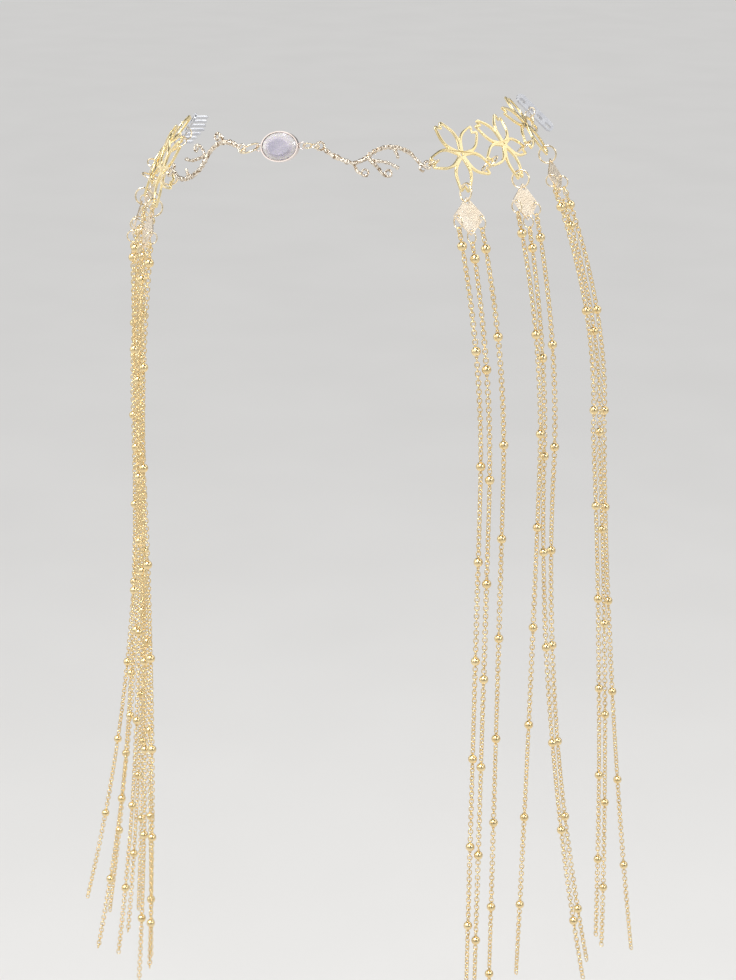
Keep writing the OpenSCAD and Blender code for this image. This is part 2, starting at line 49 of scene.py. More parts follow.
# The chain's own measures, in millimetres, as in the part's source
HEAD_HALF_W = 76.0
HEAD_HALF_D = 84.0
TILT = 6.0
LEAN_FRONT = 14.5
LEAN_SIDE = 35.0
ARC_STEPS = 60
STONE_UP = 6.0
FIRST_FLOWER = 71.0
FLOWER_STEP = 26.5
FLOWER_UP = (-6.0, -7.0, -4.0)
FLOWER_ROLL = {RIGHT: (-17.0, -1.0, 10.0), LEFT: (5.0, 2.0, -8.0)}
FLOWER_SHIFT = {RIGHT: (0.0, 0.0, 0.0), LEFT: (-0.3, 2.7, 2.7)}
FLOWER_DOME = 100.0
FLOWER_T = 0.9
NOTCH_R = 12.53
PETALS = 5

PLATE_LEAN = {RIGHT: 24.0, LEFT: 18.0}
PLATE_ROLL = {RIGHT: (-9.0, -14.0, -14.0), LEFT: (4.0, 8.0, 8.0)}
PLATE_YAW = {RIGHT: (0.0, 7.0, 6.0), LEFT: (0.0, 0.0, 0.0)}
PLATE_DROP = 4.6
HOLE_AT = 5.6
HOLE_R = 0.9
TIP_AT = 7.3
TOP_RING_R = 2.35
TOP_RING_RISE = 0.1
TOP_RING_WIRE = 0.55

SLOPE_DROP = 100.0
LOW_DROP = 220.0
DOME_REACH = {RIGHT: (12.0, 12.0, 21.0), LEFT: (5.0, 3.0, 10.0)}
# For each tassel: reach at three stations, drift at two, first bead, bead spacing and whole drop
TASSELS = {
    RIGHT: (
        (
            (-1.4, -1.4, -1.4, 4.6, 3.9, 6.6, 42, 350.1),
            (-1.5, -1.5, -1.5, 2.5, 1.6, 5.8, 42.2, 347.8),
            (-1.7, -1.7, -1.7, 5.2, 5.7, 7.5, 40.3, 351.5),
        ),
        (
            (1.3, 0.3, -1.7, 0.4, 1.4, 7.8, 42.8, 339.8),
            (-2.2, 7.6, 27.1, 0.8, -1, 7.8, 42.5, 324.6),
            (-1, 4.3, 23, 1.7, 5.4, 9.8, 42.5, 329),
        ),
        (
            (-0.5, 7.5, 11.5, -1.7, -3.7, 8, 41.5, 338),
            (-2, 6, 10, 0.7, 0.7, 10, 43, 342),
            (-0.7, 8.3, 23.3, 2.5, 4.5, 7, 43, 352),
        ),
    ),
    LEFT: (
        (
            (-0.8, 0.2, 3.2, -0.2, 0.8, 6.5, 42, 329.5),
            (0.2, 2.2, 9.2, -0.2, 1.8, 9.5, 41.5, 333.5),
            (1.2, 2.2, 7.2, 0.3, 2.8, 7.5, 42.5, 327.5),
        ),
        (
            (-0.7, 3.3, 13.3, -0.1, -0.1, 8.5, 41, 337.5),
            (-1.7, 6.3, 25.3, -0.1, -0.1, 6.5, 42, 337.5),
            (0.3, 4.3, 17.3, -0.1, -0.1, 7.5, 43, 343.5),
        ),
        (
            (-1.3, 2.7, 10.7, 0, -2, 7.7, 42, 353.7),
            (-3.3, 7.7, 32.7, 0, -1, 5.7, 41, 341.7),
            (-1.3, 4.7, 20.7, 0, 0, 9.7, 42, 349.7),
        ),
    ),
}
# How far below its even place each bead of the first two right groups lies
BEAD_SHIFTS = (
    (
        (0, -2, 2, 0, 1, 3, 2, -2),
        (0, 0, 2, 3.5, 3, 0.5, -0.5, -1.5),
        (0, -6.5, -3.5, -4.5, -1.5, 3.5, 2.5, 3, -4),
    ),
    (
        (0, -3.5, -6, -9, -7.5, -5.5, -4, -3.5),
        (0, 1, -1, -2.5, -3.5, -3.5, -6.5, -7.5),
        (-1, -1, -1, 1.5, 1.5, 3, -4.5, -3.5),
    ),
)
BARE_END = 12.0

VINE_START = {RIGHT: (14.7, 5.1), LEFT: (-15.9, 5.8)}
VINE_TURN = {RIGHT: -16.6, LEFT: 195.4}
VINE_LIFT = {RIGHT: (1.0, -1.1), LEFT: (1.0, 1.7)}
VINE_L = 41.8
VINE_LOOP_R = 1.45
VINE_LOOP_WIRE = 0.5
STEM_R = 1.0
STEM_MAIN = (
    (1.2, -0.8, 0.6), (2.6, -2.1, 0.9), (4.6, -3.6, 1), (7.2, -4.4, 1), (10, -4.6, 0.9),
    (12.8, -4, 0.85), (15.2, -2.7, 0.85), (17.3, -1.1, 0.95), (19, 0.8, 0.9), (21, 2.5, 0.85),
    (24.2, 4, 0.9), (27.8, 4.7, 0.9), (31.3, 4.5, 0.85), (34.6, 3.3, 0.9), (37.2, 1.2, 0.85),
    (39.4, -0.4, 0.7), (40.8, -0.5, 0.6),
)
STEM_TINE = ((19, -1.7, 0.65), (22.5, -1.5, 0.65), (25.8, -1.6, 0.62), (28.2, -2.3, 0.62), (29.8, -3, 0.75))
STEM_NUB = ((27.7, 4.4, 0.7), (28.7, 2.6, 0.62), (29.5, 1, 0.75))
STEM_END = ((38.6, -0.6, 0.6), (38.5, -2, 0.48), (39.5, -2.9, 0.44), (40.4, -2.2, 0.4))
RISE_RIGHT = 1.5
RISE_L = 13.0
CURLS = {
    RIGHT: (((13.2, -4.2), (17.6, -6.5)), ((22.4, -4.2), (26.1, -5.4))),
    LEFT: (((8, -4.6), (10.8, -7.4)), ((18.9, -3.6), (23.2, -5.8))),
}
BRANCH_FOOT = (17.8, -1, 0.75)
CURL_R = 1.35
CURL_STEPS = 16

PETAL_OUTSIDE = (
    (1, 1.2), (3, 2.35), (4.8, 3.55), (6.8, 4), (9, 3.95), (11, 3.45), (12.7, 2.85),
    (13.8, 2.45), (14.45, 1.95), (14.55, 1.3), (13.9, 0.65), (13.2, 0.25), (13, 0),
)
PETAL_OPENING = (
    (1.9, 0), (2.7, 0.7), (4, 1.6), (5.6, 2.5), (7.4, 2.95), (9.2, 2.9), (11, 2.45),
    (12.4, 2.05), (13.3, 1.75), (13.35, 1.35), (12.75, 0.75), (12.2, 0.3), (12.05, 0),
)

# A chain link's outer length, outer width and wire, and a bead's radius
LINK_L = 2.76
LINK_W = 2.3
LINK_WIRE = 0.48
BEAD_R = 1.88


# Layout of the worn chain

def at(f, x, y, z=0.0):
    return f[0] + f[1] * x + f[2] * y + f[3] * z


def oval_angle(s):
    t = 0.0
    for _ in range(ARC_STEPS):
        t += abs(s) / ARC_STEPS / math.hypot(HEAD_HALF_W * math.cos(t), HEAD_HALF_D * math.sin(t))
    return math.copysign(t, s)


def frame_from(origin, along, out, lean, roll):
    lean = math.radians(lean)
    roll = math.radians(roll)
    up = Vector((0, 0, math.cos(lean))) - out * math.sin(lean)
    x = along * math.cos(roll) + up * math.sin(roll)
    y = up * math.cos(roll) - along * math.sin(roll)
    return (origin, x, y, along.cross(up))


def band_frame(s, up, lean, roll=0.0):
    t = oval_angle(s)
    along = Vector((HEAD_HALF_W * math.cos(t), HEAD_HALF_D * math.sin(t), 0)).normalized()
    origin = Vector((HEAD_HALF_W * math.sin(t), -HEAD_HALF_D * math.cos(t), up))
    return frame_from(origin, along, Vector((along.y, -along.x, 0)), lean, roll)


def band_lean(s):
    return LEAN_FRONT + (LEAN_SIDE - LEAN_FRONT) * abs(s) / (FIRST_FLOWER + 2 * FLOWER_STEP)


TILT_TURN = Matrix.Rotation(-math.radians(TILT), 3, "Y")


def worn(f):
    return tuple(TILT_TURN @ v for v in f)


def flower_frame(hand, i):
    s = hand * (FIRST_FLOWER + i * FLOWER_STEP + FLOWER_SHIFT[hand][i])
    return worn(band_frame(s, FLOWER_UP[i], band_lean(s), FLOWER_ROLL[hand][i]))


def dome_z(r):
    return math.sqrt(FLOWER_DOME ** 2 - r * r) - FLOWER_DOME


def notch_point(f, angle):
    angle = math.radians(angle)
    return at(f, NOTCH_R * math.cos(angle), NOTCH_R * math.sin(angle), dome_z(NOTCH_R))


def level(v):
    return Vector((v.x, v.y, 0)).normalized()


def across(v):
    return Vector((-v.y, v.x, 0))


def plate_frame(hand, i):
    f = flower_frame(hand, i)
    yaw = math.radians(PLATE_YAW[hand][i])
    straight = level(f[3])
    out = straight * math.cos(yaw) - across(straight) * hand * math.sin(yaw)
    turned = frame_from(Vector(), across(out), out, PLATE_LEAN[hand], PLATE_ROLL[hand][i])
    rim = notch_point(f, -90) - (f[2] + turned[2]).normalized() * PLATE_DROP
    return (rim - turned[2] * ((HOLE_AT + HOLE_R + TIP_AT) / 2), turned[1], turned[2], turned[3])


def pull(hand, i):
    """The way in which a tassel pulls at its top ring."""
    slope = 2 * DOME_REACH[hand][i] / SLOPE_DROP
    return (level(flower_frame(hand, i)[3]) * slope - Vector((0, 0, 1))).normalized()


def top_ring_middle(hand, i, corner):
    f = plate_frame(hand, i)
    hole = at(f, 0, -HOLE_AT) if corner == 0 else at(f, corner * HOLE_AT, 0)
    return hole + pull(hand, i) * (TOP_RING_R - TOP_RING_RISE)


def drift(d, foot, low, end, drop):
    if d <= SLOPE_DROP:
        return foot * (1 - (1 - max(d, 0) / SLOPE_DROP) ** 2)
    a = foot * (d - LOW_DROP) * (d - drop) / ((SLOPE_DROP - LOW_DROP) * (SLOPE_DROP - drop))
    b = low * (d - SLOPE_DROP) * (d - drop) / ((LOW_DROP - SLOPE_DROP) * (LOW_DROP - drop))
    c = end * (d - SLOPE_DROP) * (d - LOW_DROP) / ((drop - SLOPE_DROP) * (drop - LOW_DROP))
    return a + b + c


def tassel_point(hand, i, corner, d):
    row = TASSELS[hand][i][corner + 1]
    out = level(flower_frame(hand, i)[3])
    reach = DOME_REACH[hand][i]
    top = top_ring_middle(hand, i, corner) + pull(hand, i) * TOP_RING_R
    outward = drift(d, reach + row[0], reach + row[1], reach + row[2], row[7])
    sideways = drift(d, row[3], (row[3] + row[4]) / 2, row[4], row[7])
    return top - Vector((0, 0, d)) + out * outward + across(out) * sideways


def chain_up(s):
    return STONE_UP + (FLOWER_UP[0] - STONE_UP) * min(abs(s) / FIRST_FLOWER, 1)


def vine_point(hand, x, y, lift=0.0):
    turn = math.radians(VINE_TURN[hand])
    out = VINE_LIFT[hand]
    s = VINE_START[hand][0] + x * math.cos(turn) - y * math.sin(turn)
    up = VINE_START[hand][1] + x * math.sin(turn) + y * math.cos(turn)
    z = out[0] + (out[1] - out[0]) * x / VINE_L + lift
    return TILT_TURN @ at(band_frame(s, chain_up(s), band_lean(s)), 0, up - chain_up(s), z)


# Mesh helpers

def add_object(name, data):
    obj = bpy.data.objects.new(name, data)
    bpy.context.scene.collection.objects.link(obj)
    return obj


def settled_mesh(source):
    """The mesh that an object has after its curve or modifiers are worked out; the object goes."""
    bpy.context.view_layer.update()
    shape = source.evaluated_get(bpy.context.evaluated_depsgraph_get())
    mesh = bpy.data.meshes.new_from_object(shape)
    bpy.data.objects.remove(source)
    return mesh


def new_object(name, vertices, faces):
    """A smooth object from points in millimetres."""
    mesh = bpy.data.meshes.new(name)
    mesh.from_pydata([tuple(c * MM for c in v) for v in vertices], [], faces)
    mesh.shade_smooth()
    mesh.update()
    return add_object(name, mesh)


def oval_ring(half_l, half_w, wire_r, around, sides):
    """A closed link in the XZ plane: long along Z."""
    points = []
    for k in range(around):
        a = 2 * math.pi * k / around
        # A flattened oval: its long sides are straighter than an ellipse's
        centre = Vector((
            half_w * math.copysign(abs(math.sin(a)) ** 0.8, math.sin(a)), 0,
            half_l * math.copysign(abs(math.cos(a)) ** 0.9, math.cos(a)),
        ))
        out = Vector((math.sin(a) / half_w, 0, math.cos(a) / half_l)).normalized()
        for m in range(sides):
            b = 2 * math.pi * m / sides
            points.append(centre + out * (wire_r * math.cos(b)) + Vector((0, wire_r * math.sin(b), 0)))
    faces = [
        (k * sides + m, k * sides + (m + 1) % sides, (k + 1) % around * sides + (m + 1) % sides,
         (k + 1) % around * sides + m)
        for k in range(around) for m in range(sides)
    ]
    return points, faces


def ball(r, around, rows):
    points = [Vector((0, 0, r))]
    for j in range(1, rows):
        a = math.pi * j / rows
        for k in range(around):
            b = 2 * math.pi * k / around
            points.append(Vector((r * math.sin(a) * math.cos(b), r * math.sin(a) * math.sin(b),
                                  r * math.cos(a))))
    points.append(Vector((0, 0, -r)))
    last = len(points) - 1
    faces = [(0, 1 + k, 1 + (k + 1) % around) for k in range(around)]
    for j in range(rows - 2):
        for k in range(around):
            a = 1 + j * around
            faces.append((a + k, a + around + k, a + around + (k + 1) % around, a + (k + 1) % around))
    a = 1 + (rows - 2) * around
    faces += [(a + k, last, a + (k + 1) % around) for k in range(around)]
    return points, faces


class Heap:
    """Copies of small templates gathered into one mesh."""

    def __init__(self):
        self.points = []
        self.faces = []
        self.count = 0

    def add(self, template, x, y, z, origin):
        points, faces = template
        turn = np.array([x, y, z]).T
        local = np.array([tuple(p) for p in points])
        self.points.append(local @ turn.T + np.array(origin))
        self.faces.append([tuple(c + self.count for c in face) for face in faces])
        self.count += len(points)

    def make(self, name):
        vertices = np.concatenate(self.points)
        faces = [face for group in self.faces for face in group]
        return new_object(name, vertices.tolist(), faces)


# Tassels: cable chain with beads

LINK = oval_ring((LINK_L - LINK_WIRE) / 2, (LINK_W - LINK_WIRE) / 2, LINK_WIRE / 2, 12, 6)
BEAD = ball(BEAD_R, 18, 12)
EYE_R = 0.55
EYE_WIRE = 0.4
BEAD_EYE = oval_ring(EYE_R, EYE_R, EYE_WIRE / 2, 10, 6)
EYE_STAND = 0.42
EYE_OFFSET = BEAD_R + EYE_STAND
# From a bead's middle to the middle of the first link beside it
BEAD_TO_LINK = EYE_OFFSET + EYE_R - EYE_WIRE / 2 - LINK_WIRE + LINK_L / 2
PITCH = LINK_L - 2 * LINK_WIRE
TWIST_PER_LINK = math.radians(1.7)
# Half the stretch of a strand that gives a link its direction
HALF_STRETCH = 0.8


def tassel_route(hand, i, corner):
    """Drops of one millimetre, their places and the lengths along the strand down to them."""
    drop = TASSELS[hand][i][corner + 1][7]
    steps = np.arange(0, drop + 1.0, 1.0)
    places = np.array([tuple(tassel_point(hand, i, corner, d)) for d in steps])
    lengths = np.concatenate([[0], np.cumsum(np.linalg.norm(np.diff(places, axis=0), axis=1))])
    return steps, places, lengths


def on_route(route, length):
    """The place and the direction at a length along a tassel."""
    _, places, lengths = route
    spot = np.array([np.interp(length, lengths, places[:, k]) for k in range(3)])
    ahead = np.array([np.interp(length + HALF_STRETCH, lengths, places[:, k]) for k in range(3)])
    behind = np.array([np.interp(length - HALF_STRETCH, lengths, places[:, k]) for k in range(3)])
    return Vector(spot), Vector(ahead - behind).normalized()


def tassel(hand, i, corner):
    row = TASSELS[hand][i][corner + 1]
    route = tassel_route(hand, i, corner)
    steps, _, lengths = route
    side = across(level(flower_frame(hand, i)[3]))
    drops = np.arange(row[5], row[7] - BARE_END, row[6])
    if hand == RIGHT and i < 2:
        drops = drops + BEAD_SHIFTS[i][corner + 1][:len(drops)]
    beads = [float(b) for b in np.interp(drops, steps, lengths)]
    end = float(lengths[-1])
    # The first link hooks round the top ring's wire
    first = -TOP_RING_WIRE / 2 - LINK_WIRE / 2 + (LINK_L - LINK_WIRE) / 2
    spans = [(first, beads[0] - BEAD_TO_LINK)]
    spans += [(a + BEAD_TO_LINK, b - BEAD_TO_LINK) for a, b in zip(beads, beads[1:])]
    spans.append((beads[-1] + BEAD_TO_LINK, end - LINK_L / 2))
    heap = Heap()
    turn = 0.0

    def place(template, length, angle):
        spot, ahead = on_route(route, length)
        x = (side - ahead * side.dot(ahead)).normalized()
        y = ahead.cross(x)
        x, y = x * math.cos(angle) + y * math.sin(angle), y * math.cos(angle) - x * math.sin(angle)
        heap.add(template, x, y, ahead, spot)

    for k, (start, stop) in enumerate(spans):
        count = max(1, math.ceil((stop - start) / PITCH))
        for m in range(count + 1):
            place(LINK, start + (stop - start) * m / count, turn)
            turn += math.pi / 2 + TWIST_PER_LINK
        if k < len(beads):
            place(BEAD_EYE, beads[k] - EYE_OFFSET, turn)
            place(BEAD, beads[k], turn)
            turn += math.pi / 2
            place(BEAD_EYE, beads[k] + EYE_OFFSET, turn)
            turn += math.pi / 2
    name = f"{SIDES[hand]}_{i + 1}{LETTERS[corner + 1]}"
    piece = heap.make(f"bead_chain_{name}")
    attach(piece, "root")
    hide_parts(f"tassel_{name}")
    return piece


# Flowers: pierced petals with softly rounded edges, pressed to a shallow dome

FLOWER_ROUND = 0.2
FLOWER_EYE_R = 0.6
CURVE_STEPS = 5
WELD_REACH = 0.002


def curve_between(a, b, c, d, u):
    return 0.5 * (2 * b + (c - a) * u + (2 * a - 5 * b + 4 * c - d) * u * u
                  + (3 * b - a - 3 * c + d) * u ** 3)


def smooth_loop(half, steps):
    half = [Vector(p) for p in half]
    loop = half + [Vector((p.x, -p.y)) for p in reversed(half) if p.y > 0]
    n = len(loop)
    return [
        curve_between(loop[k - 1], loop[k], loop[(k + 1) % n], loop[(k + 2) % n], m / steps)
        for k in range(n) for m in range(steps)
    ]


def petal_turn(petal):
    return Matrix.Rotation(-math.pi / 2 + petal * 2 * math.pi / PETALS, 2)


def flower_outline(steps):
    """The outer edge of all the petals together: each petal's part that lies in its own fifth."""
    limit = math.pi / PETALS
    loop = smooth_loop(PETAL_OUTSIDE, steps)
    inside = [p for p in loop if abs(math.atan2(p.y, p.x)) < limit and p.x > 2]
    start = next(k for k, p in enumerate(loop) if p in inside and loop[k - 1] not in inside)
    run = []
    k = start
    while loop[k % len(loop)] in inside:
        run.append(loop[k % len(loop)])
        k += 1
    before = loop[start - 1]
    entry = run[0]

    def over(p):
        return abs(math.atan2(p.y, p.x)) - limit

    share = over(before) / (over(before) - over(entry))
    crossing = before.lerp(entry, share)
    edge = [crossing] + run
    outline = []
    for petal in range(PETALS):
        part = edge if edge[0].y < 0 else list(reversed(edge))
        outline += [petal_turn(petal) @ p for p in part]
    return outline


def add_spline(curve, points):
    spline = curve.splines.new("POLY")
    spline.points.add(len(points) - 1)
    for place, p in zip(spline.points, points):
        place.co = (p.x, p.y, 0, 1)
    spline.use_cyclic_u = True


def filled_plate(name, loops, thickness, bevel):
    """A flat plate with rounded edges, in millimetres, as an object that isn't yet in place."""
    curve = bpy.data.curves.new(name, "CURVE")
    curve.dimensions = "2D"
    curve.fill_mode = "BOTH"
    curve.extrude = thickness / 2 - bevel
    curve.bevel_depth = bevel
    curve.bevel_resolution = 2
    curve.offset = -bevel
    for points in loops:
        add_spline(curve, points)
    mesh = settled_mesh(add_object(name + "_outline", curve))
    bpy.data.curves.remove(curve)
    mesh.name = name
    return add_object(name, mesh)


def put(obj, f):
    """Moves an object's points from its own frame, in millimetres, to their place in metres."""
    place = Matrix((
        (f[1].x, f[2].x, f[3].x, f[0].x), (f[1].y, f[2].y, f[3].y, f[0].y),
        (f[1].z, f[2].z, f[3].z, f[0].z), (0, 0, 0, 1),
    ))
    obj.data.transform(Matrix.Scale(MM, 4) @ place)
    obj.data.update()


def weld(obj, distance):
    made = bmesh.new()
    made.from_mesh(obj.data)
    bmesh.ops.remove_doubles(made, verts=made.verts, dist=distance)
    bmesh.ops.recalc_face_normals(made, faces=made.faces)
    made.to_mesh(obj.data)
    made.free()


def circle(r, count):
    return [Vector((r * math.cos(2 * math.pi * k / count), r * math.sin(2 * math.pi * k / count)))
            for k in range(count)]


def flower(hand, i):
    loops = [flower_outline(CURVE_STEPS)]
    opening = smooth_loop(PETAL_OPENING, CURVE_STEPS)
    for petal in range(PETALS):
        loops.append([petal_turn(petal) @ p for p in opening])
    loops.append(circle(FLOWER_EYE_R, 20))
    name = f"{SIDES[hand]}_{i + 1}"
    piece = filled_plate(f"blossom_{name}", loops, FLOWER_T, FLOWER_ROUND)
    weld(piece, WELD_REACH)
    for v in piece.data.vertices:
        v.co.z += dome_z(math.hypot(v.co.x, v.co.y))
    piece.data.shade_smooth()
    piece.data.set_sharp_from_angle(angle=math.radians(40))
    put(piece, flower_frame(hand, i))
    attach(piece, "root")
    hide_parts(f"flower_{name}")
    return piece


# Branch castings: knotty stems fused to one skin with a bark-like surface

TUBE_SIDES = 12
LOOP_POINTS = 28
STEM_STEP = 0.3
SKIN_VOXEL = 0.17
CURL_SWEEP = 395
CURL_SHRINK = 0.2
CURL_THICK = 0.62
CURL_THINS = 0.22
# How far the bark's wide lumps and fine pits reach, and how far the whole skin is drawn in
LUMP_REACH = 0.12
PIT_REACH = 0.13
SKIN_INSET = 0.04
LUMP_SCALE = 0.9
PIT_SCALE = 2.3
PIT_START = Vector((7, 3, 1))


def spline_points(points, step):
    """Points every step along a smooth curve through [x, y, thickness] stations."""
    stations = [Vector(p) for p in points]
    stations = [stations[0] * 2 - stations[1]] + stations + [stations[-1] * 2 - stations[-2]]
    made = []
    for k in range(1, len(stations) - 2):
        a, b, c, d = stations[k - 1:k + 3]
        count = max(2, round((c - b).length / step))
        made += [curve_between(a, b, c, d, m / count) for m in range(count)]
    made.append(stations[-2])
    return made


def tube(heap_points, heap_faces, centres, radii, closed=False):
    """Adds a tube to the heap; an open one gets pointed ends."""
    sides = TUBE_SIDES
    n = len(centres)
    normal = Vector((0, 0, 1))
    base = len(heap_points)
    for k, (centre, r) in enumerate(zip(centres, radii)):
        if closed:
            ahead = (centres[(k + 1) % n] - centres[k - 1]).normalized()
        else:
            ahead = (centres[min(k + 1, n - 1)] - centres[max(k - 1, 0)]).normalized()
        x = normal.cross(ahead)
        if x.length < 0.1:
            x = Vector((1, 0, 0)).cross(ahead)
        x.normalize()
        y = ahead.cross(x)
        for m in range(sides):
            a = 2 * math.pi * m / sides
            heap_points.append(centre + x * (r * math.cos(a)) + y * (r * math.sin(a)))
    rows = n if closed else n - 1
    for k in range(rows):
        for m in range(sides):
            a = base + k * sides
            b = base + (k + 1) % n * sides
            heap_faces.append((a + m, a + (m + 1) % sides, b + (m + 1) % sides, b + m))
    if not closed:
        for k, way in ((0, -1), (n - 1, 1)):
            ahead = (centres[min(k + 1, n - 1)] - centres[max(k - 1, 0)]).normalized() * way
            tip = len(heap_points)
            heap_points.append(centres[k] + ahead * radii[k] * 0.7)
            row = base + k * sides
            for m in range(sides):
                face = (row + m, row + (m + 1) % sides, tip)
                heap_faces.append(face if way > 0 else tuple(reversed(face)))


def knot(x):
    """How much a stem swells at a point along it."""
    return 1 + 0.13 * math.sin(x * 2.1) + 0.08 * math.sin(x * 4.7 + 1)


def curl_points(foot, middle):
    start = math.degrees(math.atan2(foot[1] - middle[1], foot[0] - middle[0]))
    reach = math.hypot(foot[0] - middle[0], foot[1] - middle[1]) - CURL_R
    made = []
    for k in range(CURL_STEPS + 1):
        t = k / CURL_STEPS
        a = math.radians(start + CURL_SWEEP * t)
        r = CURL_R * (1 - CURL_SHRINK * t) + reach * max(0, 1 - 5 * t) ** 2
        made.append((middle[0] + r * math.cos(a), middle[1] + r * math.sin(a), CURL_THICK - CURL_THINS * t))
    return made


def main_points(hand):
    made = []
    for x, y, thick in STEM_MAIN:
        if hand == RIGHT and x < RISE_L:
            y += RISE_RIGHT * math.sin(math.pi * x / RISE_L)
        made.append((x, y, thick))
    return made


def vine(hand):
    points, faces = [], []
    stems = [main_points(hand), STEM_TINE, STEM_NUB, STEM_END]
    stems.append([BRANCH_FOOT, (*CURLS[hand][1][0], 0.65)])
    stems += [curl_points(foot, middle) for foot, middle in CURLS[hand]]
    for number, stem in enumerate(stems):
        line = spline_points(stem, STEM_STEP)
        centres = [vine_point(hand, p.x, p.y) for p in line]
        radii = [STEM_R * p.z * knot(p.x + p.y + number) for p in line]
        tube(points, faces, centres, radii)
    for x in (0.0, VINE_L):
        ring = [
            vine_point(hand, x + VINE_LOOP_R * math.cos(a), VINE_LOOP_R * math.sin(a))
            for a in (2 * math.pi * k / LOOP_POINTS for k in range(LOOP_POINTS))
        ]
        tube(points, faces, ring, [VINE_LOOP_WIRE] * len(ring), closed=True)
    mesh = bpy.data.meshes.new("stems")
    mesh.from_pydata([tuple(p) for p in points], [], faces)
    source = add_object("stems", mesh)
    skin = source.modifiers.new("skin", "REMESH")
    skin.mode = "VOXEL"
    skin.voxel_size = SKIN_VOXEL
    fused = settled_mesh(source)
    made = bmesh.new()
    made.from_mesh(fused)
    bmesh.ops.smooth_vert(made, verts=made.verts, factor=0.5, use_axis_x=True, use_axis_y=True,
                          use_axis_z=True)
    made.normal_update()
    for v in made.verts:
        lumps = noise.noise(v.co * LUMP_SCALE)
        pits = noise.noise(v.co * PIT_SCALE + PIT_START)
        v.co += v.normal * (LUMP_REACH * lumps + PIT_REACH * pits - SKIN_INSET)
    made.to_mesh(fused)
    made.free()
    fused.transform(Matrix.Scale(MM, 4))
    fused.shade_smooth()
    piece = add_object(f"branch_casting_{SIDES[hand]}", fused)
    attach(piece, "root")
    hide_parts(f"vine_{SIDES[hand]}")
    return piece


# Materials, whose depths are in metres

DENT_DEPTH = 0.0005
TINT_SCALE = 180.0
WEAR_SCALE = 420.0
# How far a metal's roughness wavers below and above its own value
SMOOTHEST = 0.75
ROUGHEST = 1.35


def node_tree(name):
    material = bpy.data.materials.new(name)
    material.use_nodes = True
    nodes = material.node_tree.nodes
    links = material.node_tree.links
    shader = nodes["Principled BSDF"]
    place = nodes.new("ShaderNodeTexCoord")
    return material, nodes, links, shader, place


def noise_node(nodes, links, place, scale, detail=3.0, rough=0.55, stretch=None):
    texture = nodes.new("ShaderNodeTexNoise")
    texture.inputs["Scale"].default_value = scale
    texture.inputs["Detail"].default_value = detail
    texture.inputs["Roughness"].default_value = rough
    if stretch is None:
        links.new(place.outputs["Object"], texture.inputs["Vector"])
    else:
        mapping = nodes.new("ShaderNodeMapping")
        mapping.inputs["Scale"].default_value = stretch
        links.new(place.outputs["Object"], mapping.inputs["Vector"])
        links.new(mapping.outputs["Vector"], texture.inputs["Vector"])
    return texture


def range_node(nodes, links, source, low, high, start=0.3, stop=0.7):
    spread = nodes.new("ShaderNodeMapRange")
    spread.inputs["From Min"].default_value = start
    spread.inputs["From Max"].default_value = stop
    spread.inputs["To Min"].default_value = low
    spread.inputs["To Max"].default_value = high
    links.new(source, spread.inputs["Value"])
    return spread.outputs["Result"]


def mix_node(nodes, links, factor, a, b):
    """Mixes two colours, each given as three numbers or as another node's output."""
    mix = nodes.new("ShaderNodeMix")
    mix.data_type = "RGBA"
    for name, colour in (("A", a), ("B", b)):
        if isinstance(colour, tuple):
            mix.inputs[name].default_value = (*colour, 1)
        else:
            links.new(colour, mix.inputs[name])
    links.new(factor, mix.inputs["Factor"])
    return mix.outputs["Result"]


def bump_node(nodes, links, source, strength, depth):
    bump = nodes.new("ShaderNodeBump")
    bump.inputs["Strength"].default_value = strength
    bump.inputs["Distance"].default_value = depth
    links.new(source, bump.inputs["Height"])
    return bump


def metal(name, light, dark, rough, grain, bump, depth=0.0001, stretch=None, dents=None, recess_shade=None):
    """A plated metal: its tint and polish waver, with a fine grain and, if asked, hammer marks
    or painted shade, a darker colour in the grain's recesses."""
    material, nodes, links, shader, place = node_tree(name)
    shader.inputs["Metallic"].default_value = 1.0
    tint = noise_node(nodes, links, place, TINT_SCALE)
    colour = mix_node(nodes, links, range_node(nodes, links, tint.outputs["Fac"], 0, 1), light, dark)
    links.new(colour, shader.inputs["Base Color"])
    wear = noise_node(nodes, links, place, WEAR_SCALE, 4.0, 0.6, stretch)
    links.new(
        range_node(nodes, links, wear.outputs["Fac"], rough * SMOOTHEST, rough * ROUGHEST),
        shader.inputs["Roughness"],
    )
    fine = noise_node(nodes, links, place, grain, 4.0, 0.6, stretch)
    height = bump_node(nodes, links, fine.outputs["Fac"], bump, depth)
    # Painted shade: the grain's low parts take the darker recess colour, standing in for shade in the
    # hollows.
    if recess_shade is not None:
        raised = range_node(nodes, links, fine.outputs["Fac"], 0, 1, 0.4, 0.52)
        links.new(mix_node(nodes, links, raised, recess_shade, colour), shader.inputs["Base Color"])
    if dents is not None:
        marks = nodes.new("ShaderNodeTexVoronoi")
        marks.feature = "SMOOTH_F1"
        marks.inputs["Scale"].default_value = dents[0]
        marks.inputs["Smoothness"].default_value = 0.35
        links.new(place.outputs["Object"], marks.inputs["Vector"])
        struck = bump_node(nodes, links, marks.outputs["Distance"], dents[1], DENT_DEPTH)
        links.new(height.outputs["Normal"], struck.inputs["Normal"])
        height = struck
    links.new(height.outputs["Normal"], shader.inputs["Normal"])
    return material


